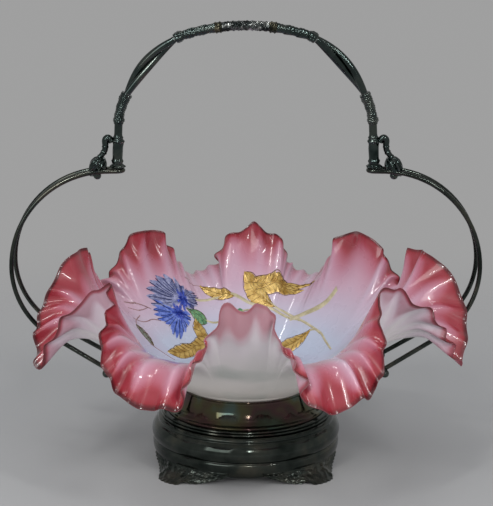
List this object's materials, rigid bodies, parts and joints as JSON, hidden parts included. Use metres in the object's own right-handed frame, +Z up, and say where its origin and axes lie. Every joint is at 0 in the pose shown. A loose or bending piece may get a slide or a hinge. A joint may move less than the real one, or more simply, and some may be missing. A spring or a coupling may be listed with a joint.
{
  "type": "brides basket",
  "caption": "Ruffled cased-glass bowl resting in a footed plated stand, with bent wire hoops and a twisted branch handle arching over it",
  "frame": {"origin": "on the table, under the middle of the base", "axes": "+Z up, +X to the right along the handle and the hoops, -Y towards the front"},
  "size_m": [0.302, 0.2706, 0.2872],
  "materials": {
    "tarnished_plate": "silver plate over white metal, tarnished almost black with a faint green cast, semi-gloss, worn brighter on the high spots",
    "polished_plate": "smooth silver plate with a dark even tarnish, mirror gloss with brown, blue and plum reflections",
    "steel_fixings": "dull plain steel, hidden inside and under the base",
    "worn_brass": "plate worn through to greenish brass on the bark-textured grip and its collars",
    "cased_glass": "opaque cased glass: glossy inside, deep rose at the ruffled edge shading through pink to a bluish white centre, satin greyish white outside, with enamelled flowers and gilt leaves"
  },
  "bodies": {
    "stand": {"foot_front_left": "tarnished_plate", "foot_front_right": "tarnished_plate", "foot_back_left": "tarnished_plate", "foot_back_right": "tarnished_plate", "base_shell": "tarnished_plate", "base_plate": "tarnished_plate", "ring_moulding": "tarnished_plate", "bowl_cup": "polished_plate", "centre_bolt": "steel_fixings", "centre_washer": "steel_fixings", "centre_nut": "steel_fixings", "wire_left": "tarnished_plate", "wire_right": "tarnished_plate", "wire_tie_left": "tarnished_plate", "wire_tie_right": "tarnished_plate", "leaf_clamp_left": "tarnished_plate", "leaf_clamp_right": "tarnished_plate", "scroll_left": "tarnished_plate", "scroll_right": "tarnished_plate", "post_foot_left": "tarnished_plate", "post_foot_right": "tarnished_plate", "post_left": "tarnished_plate", "post_right": "tarnished_plate", "branch_socket_left": "tarnished_plate", "branch_socket_right": "tarnished_plate", "outer_branch_left": "tarnished_plate", "outer_branch_right": "tarnished_plate", "inner_branch_left": "tarnished_plate", "inner_branch_right": "tarnished_plate", "branch_knot_left": "tarnished_plate", "branch_knot_right": "tarnished_plate", "grip_sheath_left": "tarnished_plate", "grip_sheath_right": "tarnished_plate", "grip_collar_left": "worn_brass", "grip_collar_right": "worn_brass", "handle_grip": "worn_brass"},
    "bowl": {"glass_bowl": "cased_glass"}
  },
  "joints": [
    {"name": "bowl_lift", "type": "slide", "parent": "stand", "child": "bowl", "axis": [0, 0, 1], "range_m": [0, 0.04]}
  ]
}
